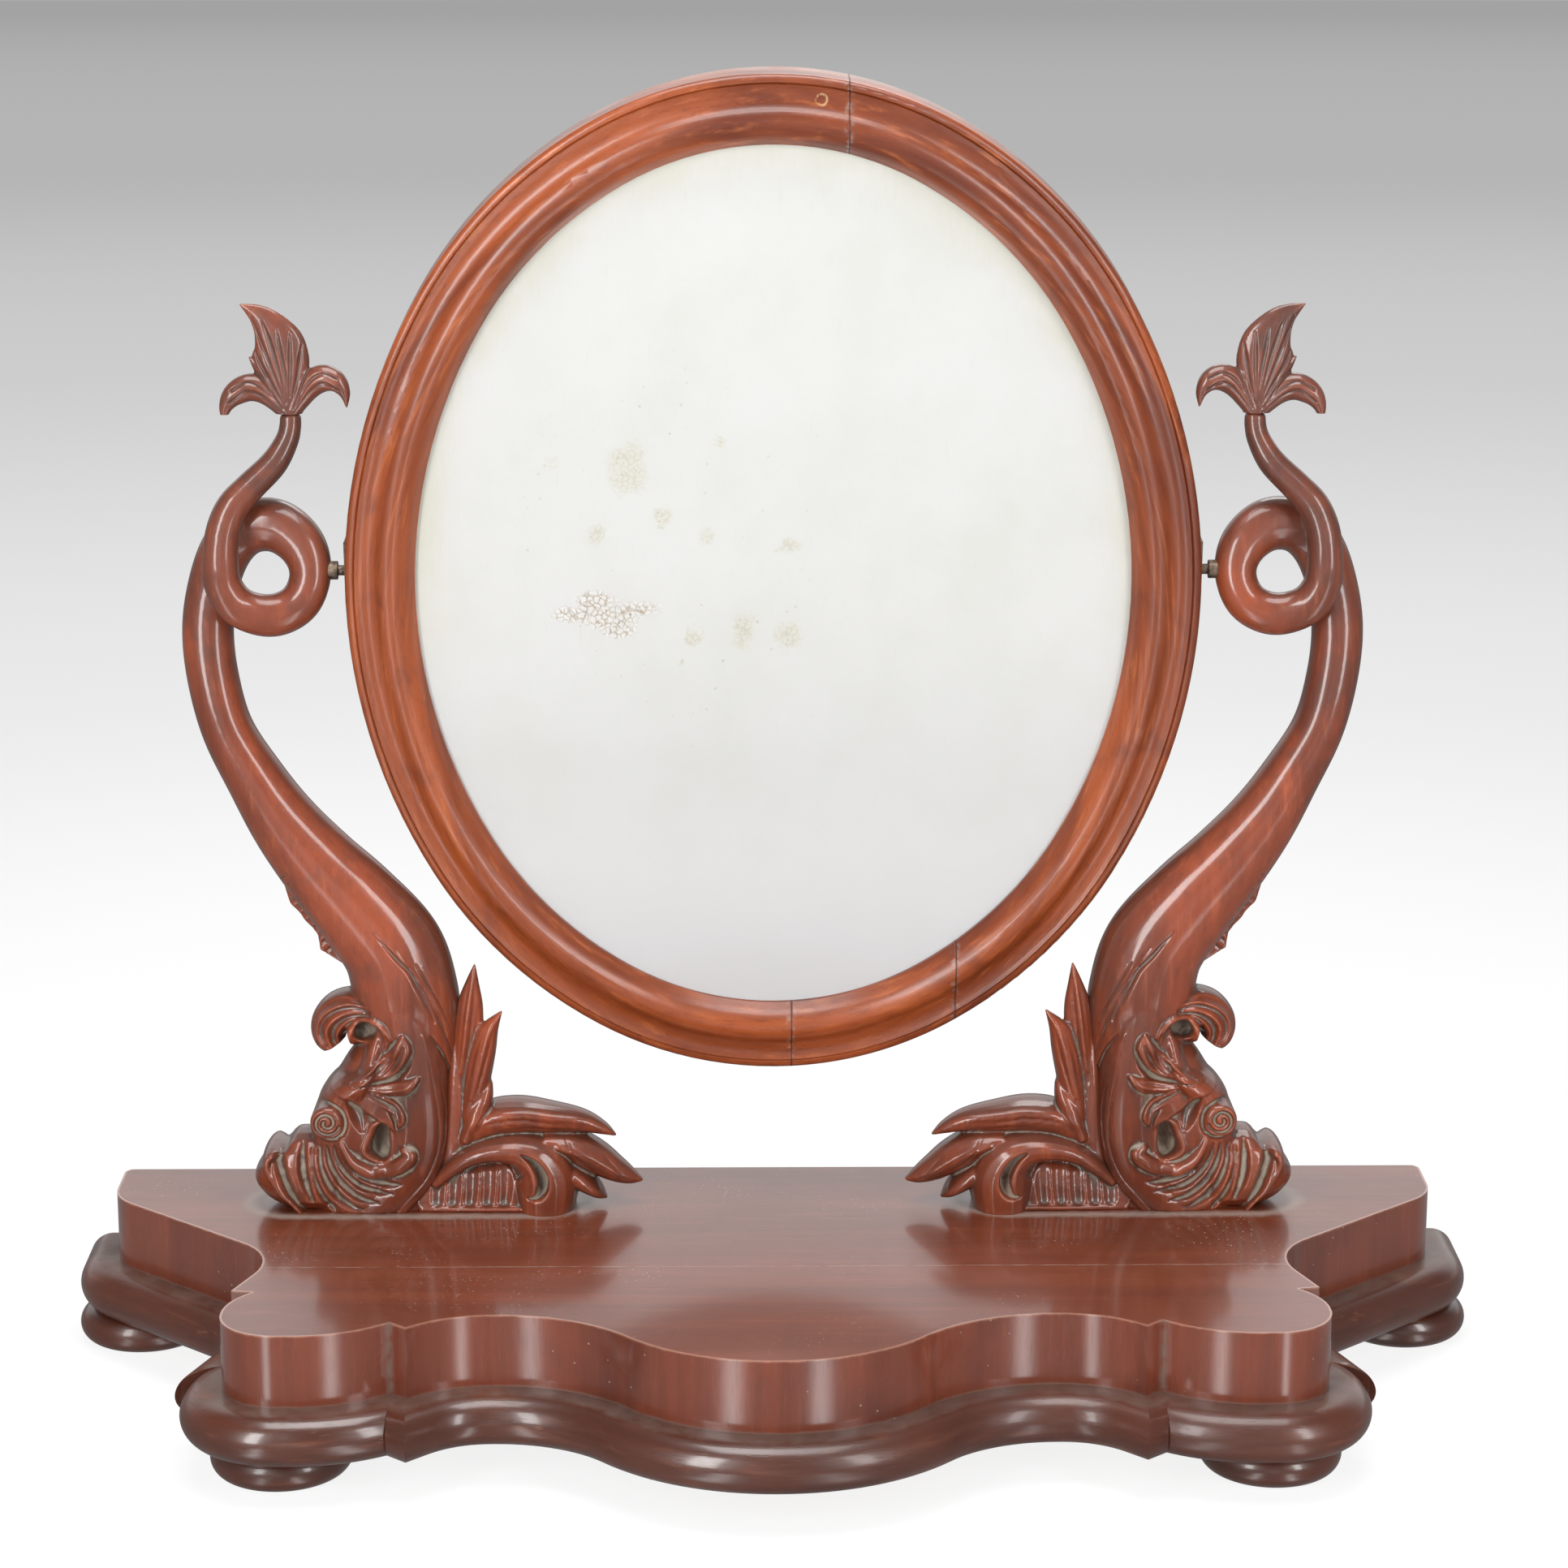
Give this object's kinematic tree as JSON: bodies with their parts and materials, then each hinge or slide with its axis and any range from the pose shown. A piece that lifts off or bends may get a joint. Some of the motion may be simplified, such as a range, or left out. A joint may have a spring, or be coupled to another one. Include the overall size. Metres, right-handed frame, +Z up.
{
  "type": "dressing table mirror",
  "caption": "Oval swing mirror in a moulded frame, pivoted between carved dolphin uprights on a serpentine platform with a half-round plinth and bun feet.",
  "frame": {"origin": "on the floor under the middle of the base", "axes": "+Z up, +X to the right as seen from the front, the glass faces -Y"},
  "size_m": [0.784, 0.325, 0.7075],
  "materials": {
    "base_mahogany": "dark red-brown polish, worn",
    "veneer_mahogany": "upright-grained veneer, polished and worn",
    "carved_mahogany": "carved, polished, dusty in the hollows",
    "frame_mahogany": "orange-red polish",
    "pine": "unpolished, aged",
    "beech": "unpolished",
    "silvered_glass": "old silvering, foxed",
    "iron": "dull, browned",
    "steel_screws": "dull"
  },
  "bodies": {
    "stand": {"foot_dowels": "beech", "front_moulding": "base_mahogany", "front_veneer": "veneer_mahogany", "left_dolphin": "carved_mahogany", "left_fin_bracket": "carved_mahogany", "left_front_foot": "base_mahogany", "left_lobe_moulding": "base_mahogany", "left_lobe_veneer": "veneer_mahogany", "left_pivot_collar": "iron", "left_pivot_pin": "iron", "left_rear_foot": "base_mahogany", "left_side_moulding": "base_mahogany", "left_side_veneer": "veneer_mahogany", "left_tail_fluke": "carved_mahogany", "platform_back_rail": "pine", "platform_front_board": "base_mahogany", "platform_front_rail": "pine", "platform_left_rail": "pine", "platform_rear_board": "base_mahogany", "platform_right_rail": "pine", "plinth_back_rail": "pine", "plinth_front_rail": "pine", "plinth_left_rail": "pine", "plinth_right_rail": "pine", "right_dolphin": "carved_mahogany", "right_fin_bracket": "carved_mahogany", "right_front_foot": "base_mahogany", "right_lobe_moulding": "base_mahogany", "right_lobe_veneer": "veneer_mahogany", "right_pivot_collar": "iron", "right_pivot_pin": "iron", "right_rear_foot": "base_mahogany", "right_side_moulding": "base_mahogany", "right_side_veneer": "veneer_mahogany", "right_tail_fluke": "carved_mahogany", "tail_dowels": "beech", "upright_screws": "steel_screws"},
    "mirror": {"left_frame_segment": "frame_mahogany", "right_frame_segment": "frame_mahogany", "lower_frame_segment": "frame_mahogany", "mirror_glass": "silvered_glass", "backboard": "pine", "glass_blocks": "pine", "backboard_screws": "steel_screws", "pivot_plate_screws": "steel_screws", "left_pivot_plate": "iron", "right_pivot_plate": "iron"}
  },
  "joints": [
    {"name": "mirror_tilt", "type": "hinge", "parent": "stand", "child": "mirror", "pos_m": [0, 0.1055, 0.441], "axis": [1, 0, 0], "continuous": true}
  ]
}
